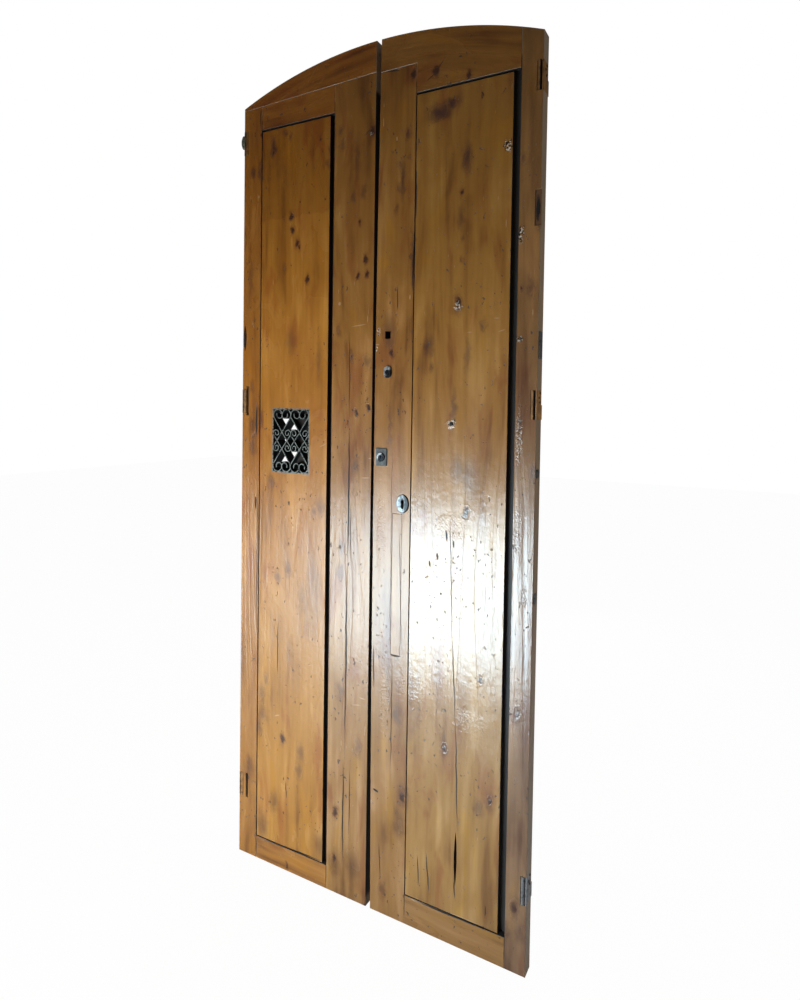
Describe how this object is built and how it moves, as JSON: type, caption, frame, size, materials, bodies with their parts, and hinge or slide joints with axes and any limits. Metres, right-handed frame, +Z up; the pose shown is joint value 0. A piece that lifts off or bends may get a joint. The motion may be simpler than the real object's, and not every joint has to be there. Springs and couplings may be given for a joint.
{
  "type": "arched wooden door",
  "caption": "Arched double door: framed and panelled old pine leaves on iron hinges in a plain frame, with a scrolled iron viewing grille, cylinder locks and a keyhole plate",
  "frame": {"origin": "floor level, in the middle of the door's width and depth", "axes": "+X to the right seen from outside, +Y into the house, +Z up"},
  "size_m": [0.99, 0.0826, 2.5525],
  "materials": {
    "leaf_wood": "satin varnish over old pine",
    "frame_wood": "satin",
    "grille_iron": "satin black",
    "old_iron": "matt, worn",
    "steel": "dull",
    "nickel": "polished",
    "plug_metal": "dull",
    "lock_paint": "satin"
  },
  "bodies": {
    "frame": {"left_jamb": "frame_wood", "right_jamb": "frame_wood", "arched_head": "frame_wood", "frame_hinge_left_bottom": "old_iron", "frame_hinge_left_middle": "old_iron", "frame_hinge_left_top": "old_iron", "frame_hinge_right_bottom": "old_iron", "frame_hinge_right_middle": "old_iron", "frame_hinge_right_top": "old_iron"},
    "left_leaf": {"left_outer_stile": "leaf_wood", "left_meeting_stile": "leaf_wood", "left_arched_rail": "leaf_wood", "left_top_rail": "leaf_wood", "left_bottom_rail": "leaf_wood", "left_panel": "leaf_wood", "grille_frame": "grille_iron", "grille_scrolls": "grille_iron", "strike_plate": "steel", "upper_keeper": "lock_paint", "lower_keeper": "lock_paint", "old_strap": "old_iron", "leaf_hinge_left_bottom": "old_iron", "leaf_hinge_left_middle": "old_iron", "leaf_hinge_left_top": "old_iron"},
    "right_leaf": {"right_outer_stile": "leaf_wood", "right_meeting_stile": "leaf_wood", "right_arched_rail": "leaf_wood", "right_bottom_rail": "leaf_wood", "right_panel": "leaf_wood", "repair_strip": "leaf_wood", "upper_cylinder": "nickel", "upper_rim_lock": "lock_paint", "lower_plate": "steel", "lower_cylinder": "steel", "lower_rim_lock": "lock_paint", "keyhole_escutcheon": "nickel", "mortise_lock_case": "steel", "old_hinge_plate": "old_iron", "leaf_hinge_right_bottom": "old_iron", "leaf_hinge_right_middle": "old_iron", "leaf_hinge_right_top": "old_iron"},
    "upper_plug": {"upper_plug": "plug_metal"},
    "lower_plug": {"lower_plug": "plug_metal"},
    "upper_bolt": {"upper_rim_bolt": "steel"},
    "lower_bolt": {"lower_rim_bolt": "steel"},
    "mortise_bolt": {"mortise_bolt": "steel"}
  },
  "joints": [
    {"name": "left_leaf_swing", "type": "hinge", "parent": "frame", "child": "left_leaf", "pos_m": [-0.484, -0.03225, 1.2], "axis": [0, 0, -1], "range_deg": [0, 100]},
    {"name": "right_leaf_swing", "type": "hinge", "parent": "frame", "child": "right_leaf", "pos_m": [0.484, -0.03225, 1.2], "axis": [0, 0, 1], "range_deg": [0, 100]},
    {"name": "upper_plug_turn", "type": "hinge", "parent": "right_leaf", "child": "upper_plug", "pos_m": [0.055, -0.03525, 1.6], "axis": [0, -1, 0], "range_deg": [0, 360]},
    {"name": "lower_plug_turn", "type": "hinge", "parent": "right_leaf", "child": "lower_plug", "pos_m": [0.0365, -0.03525, 1.354], "axis": [0, -1, 0], "range_deg": [0, 360]},
    {"name": "upper_bolt_slide", "type": "slide", "parent": "right_leaf", "child": "upper_bolt", "axis": [-1, 0, 0], "range_m": [0, 0.024]},
    {"name": "lower_bolt_slide", "type": "slide", "parent": "right_leaf", "child": "lower_bolt", "axis": [-1, 0, 0], "range_m": [0, 0.024]},
    {"name": "mortise_bolt_slide", "type": "slide", "parent": "right_leaf", "child": "mortise_bolt", "axis": [-1, 0, 0], "range_m": [0, 0.02]}
  ],
  "couplings": [
    {"joint": "upper_plug_turn", "follows": "upper_bolt_slide", "rad_per_m": 261.79},
    {"joint": "lower_plug_turn", "follows": "lower_bolt_slide", "rad_per_m": 261.79}
  ]
}
